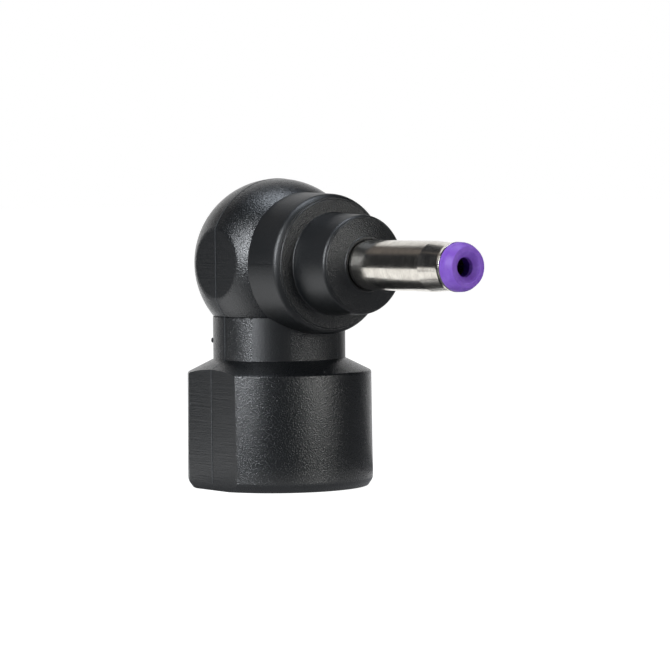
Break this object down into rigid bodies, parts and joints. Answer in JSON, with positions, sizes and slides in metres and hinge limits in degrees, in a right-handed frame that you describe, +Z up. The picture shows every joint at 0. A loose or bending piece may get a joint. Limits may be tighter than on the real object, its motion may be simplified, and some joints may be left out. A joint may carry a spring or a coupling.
{
  "type": "dc power tip",
  "caption": "Right-angle DC power tip: a black moulded elbow on a collar with a keyed socket underneath, and a slim plated coaxial plug with a purple insulator.",
  "frame": {"origin": "centre of the collar's underside, at the mouth of the socket", "axes": "+Z up the neck, +X out along the barrel towards the plug's end, flats on the +Y and -Y sides"},
  "size_m": [0.0245, 0.0104, 0.0192],
  "materials": {
    "moulded_black": "fine spark-eroded grain",
    "natural_polymer": "plain moulded",
    "socket_black": "smooth moulded",
    "pin_plating": "gold flash over brass",
    "board_laminate": "solder mask",
    "resistor_body": "glazed ceramic with tinned ends",
    "solder": "bright solder",
    "copper": "bare copper",
    "red_jacket": "extruded",
    "black_jacket": "extruded",
    "tinned_brass": "tin plate",
    "white_polymer": "plain moulded",
    "nickel_plate": "turned and nickel plated",
    "purple_polymer": "satin moulded"
  },
  "bodies": {
    "root": {"overmould": "moulded_black", "inner_mould": "natural_polymer", "socket_shell": "socket_black", "positive_pin": "pin_plating", "sense_pin": "pin_plating", "negative_pin": "pin_plating", "circuit_board": "board_laminate", "id_resistor": "resistor_body", "board_solder": "solder", "positive_wire": "copper", "positive_jacket": "red_jacket", "negative_wire": "copper", "negative_jacket": "black_jacket", "contact_solder": "solder", "lug_solder": "solder", "ground_lug": "tinned_brass", "rear_insulator": "white_polymer", "centre_contact": "tinned_brass", "barrel_sleeve": "nickel_plate", "tip_insulator": "purple_polymer"}
  },
  "joints": []
}
